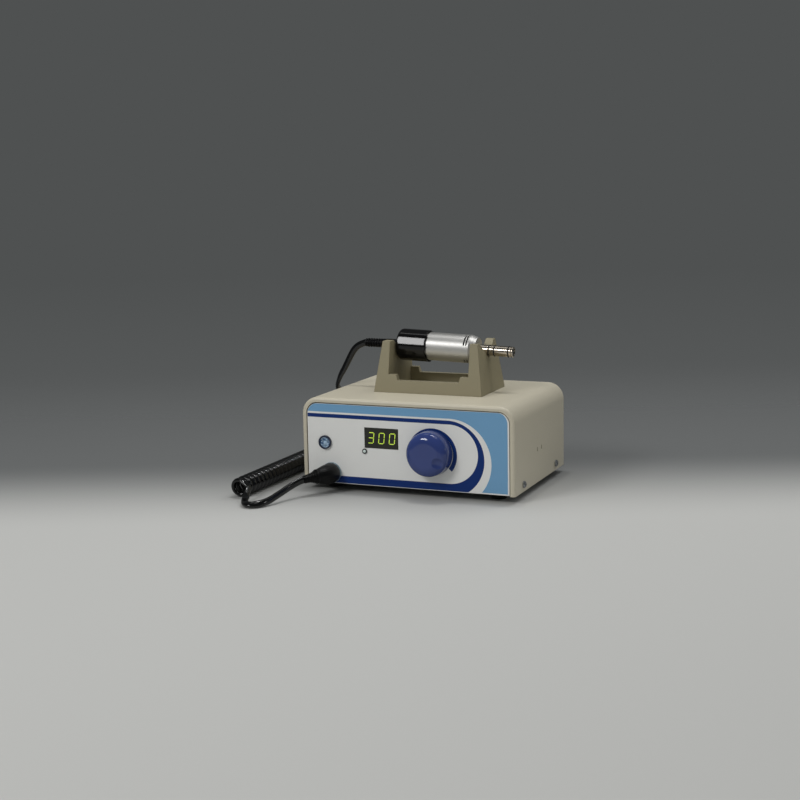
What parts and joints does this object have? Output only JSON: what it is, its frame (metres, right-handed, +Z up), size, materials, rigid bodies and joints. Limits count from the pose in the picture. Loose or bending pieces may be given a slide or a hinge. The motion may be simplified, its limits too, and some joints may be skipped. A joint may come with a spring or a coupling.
{
  "type": "micromotor polisher",
  "caption": "Bench control unit for a micromotor polisher: speed knob and display in front, mains inlet behind, a cradle on top holding the motor handpiece, and its curly cord.",
  "frame": {"origin": "on the bench, under the middle of the cabinet's footprint", "axes": "+X to the operator's right, +Y from the front panel to the rear panel, +Z up"},
  "size_m": [0.2297, 0.2158, 0.1279],
  "materials": {
    "shell_beige": "textured",
    "film_print": "satin",
    "panel_grey": "powder coat",
    "chassis_steel": "zinc plated",
    "screw_steel": "zinc plated",
    "foot_rubber": "matt",
    "cradle_putty": "textured",
    "window_smoke": "polished",
    "lamp_lens": "moulded",
    "board_green": "solder mask",
    "black_plastic": "moulded",
    "gloss_black": "polished",
    "knob_violet": "moulded",
    "fitting_brass": "nickel free",
    "insert_blue": "moulded",
    "socket_metal": "cast",
    "can_sleeve": "shrink sleeve",
    "core_iron": "laminated",
    "coil_copper": "enamelled",
    "sink_black": "black anodised",
    "motor_satin": "satin anodised",
    "nose_steel": "polished",
    "magnet_grey": "sintered",
    "carbon": "pressed",
    "shaft_steel": "ground",
    "fuse_glass": "drawn",
    "cord_black": "matt"
  },
  "bodies": {
    "control_unit": {"base_chassis": "chassis_steel", "top_cover": "shell_beige", "cover_screws": "screw_steel", "front_panel": "shell_beige", "panel_overlay": "film_print", "rear_panel": "panel_grey", "panel_screws": "screw_steel", "rubber_feet": "foot_rubber", "foot_screws": "screw_steel", "cradle": "cradle_putty", "cradle_screws": "screw_steel", "display_window": "window_smoke", "display_module": "black_plastic", "display_board": "board_green", "status_lamp": "lamp_lens", "speed_pot": "chassis_steel", "pot_nut": "fitting_brass", "pedal_socket": "black_plastic", "pedal_insert": "insert_blue", "pedal_contacts": "fitting_brass", "socket_nuts": "screw_steel", "motor_socket": "socket_metal", "main_board": "board_green", "board_standoffs": "fitting_brass", "inner_screws": "screw_steel", "capacitors": "can_sleeve", "rectifier": "black_plastic", "transformer_core": "core_iron", "transformer_coil": "coil_copper", "transformer_bracket": "chassis_steel", "heat_sink": "sink_black", "power_transistor": "black_plastic", "mains_inlet": "black_plastic", "inlet_pins": "screw_steel", "inlet_screws": "screw_steel", "switch_body": "black_plastic", "motor_plug": "black_plastic", "plug_boot": "cord_black", "plug_cord": "cord_black", "curly_cord": "cord_black", "motor_cord": "cord_black"},
    "knob": {"speed_knob": "knob_violet", "pot_shaft": "shaft_steel"},
    "rocker": {"power_rocker": "gloss_black"},
    "drawer": {"fuse_drawer": "black_plastic", "fuse": "fuse_glass"},
    "handpiece": {"motor_housing": "motor_satin", "rear_cap": "gloss_black", "nose_cone": "motor_satin", "coupling_nose": "nose_steel", "coupling_rings": "foot_rubber", "motor_magnets": "magnet_grey", "brush_plate": "black_plastic", "brushes": "carbon", "bearings": "shaft_steel", "strain_relief": "cord_black"},
    "rotor": {"rotor_shaft": "shaft_steel", "armature": "core_iron", "commutator": "coil_copper", "drive_dog": "shaft_steel"}
  },
  "joints": [
    {"name": "speed_turn", "type": "hinge", "parent": "control_unit", "child": "knob", "pos_m": [0.0218, -0.07, 0.0373], "axis": [0, -1, 0], "range_deg": [0, 300]},
    {"name": "power_rock", "type": "hinge", "parent": "control_unit", "child": "rocker", "pos_m": [0.008, 0.0654, 0.042], "axis": [-1, 0, 0], "range_deg": [0, 14]},
    {"name": "fuse_slide", "type": "slide", "parent": "control_unit", "child": "drawer", "axis": [0, 1, 0], "range_m": [0, 0.02]},
    {"name": "handpiece_lift", "type": "slide", "parent": "control_unit", "child": "handpiece", "axis": [0, 0, 1], "range_m": [0, 0.05]},
    {"name": "rotor_spin", "type": "hinge", "parent": "handpiece", "child": "rotor", "pos_m": [0.003, 0.0022, 0.1135], "axis": [0.9994, 0, -0.0349], "continuous": true}
  ]
}
